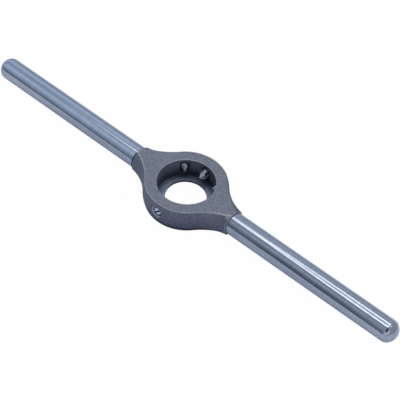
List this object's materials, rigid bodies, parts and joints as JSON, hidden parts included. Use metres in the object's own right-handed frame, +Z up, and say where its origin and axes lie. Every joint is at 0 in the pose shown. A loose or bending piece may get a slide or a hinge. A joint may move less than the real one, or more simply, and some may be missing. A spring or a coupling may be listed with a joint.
{
  "type": "die stock handle",
  "caption": "Two-handed die stock: a cast ring with a seat and set screws for a round die, and a domed steel bar on each side.",
  "frame": {"origin": "on the axis of the die seat, in the plane of the ring's flat bottom", "axes": "+X along the two bars, +Z up out of the die seat, +Y towards the spreading screw"},
  "size_m": [0.2214, 0.0366, 0.0112],
  "materials": {
    "body": "fine matte casting with machined faces",
    "bar": "turned and polished",
    "screw": "bright cut thread"
  },
  "bodies": {
    "holder": {"holder_body": "body", "handle_left": "bar", "handle_right": "bar"},
    "clamp_screw_right": {"clamp_screw_right": "screw"},
    "spreading_screw": {"spreading_screw": "screw"},
    "clamp_screw_left": {"clamp_screw_left": "screw"},
    "lock_screw": {"lock_screw": "screw"}
  },
  "joints": [
    {"name": "clamp_screw_right_travel", "type": "slide", "parent": "holder", "child": "clamp_screw_right", "axis": [-0.7071, -0.7071, 0], "range_m": [-0.00155, 0.002]},
    {"name": "spreading_screw_travel", "type": "slide", "parent": "holder", "child": "spreading_screw", "axis": [0, -1, 0], "range_m": [-0.0041, 0.002]},
    {"name": "clamp_screw_left_travel", "type": "slide", "parent": "holder", "child": "clamp_screw_left", "axis": [0.7071, -0.7071, 0], "range_m": [-0.0025, 0.002]},
    {"name": "lock_screw_travel", "type": "slide", "parent": "holder", "child": "lock_screw", "axis": [0, 1, 0], "range_m": [-0.00085, 0.002]}
  ]
}
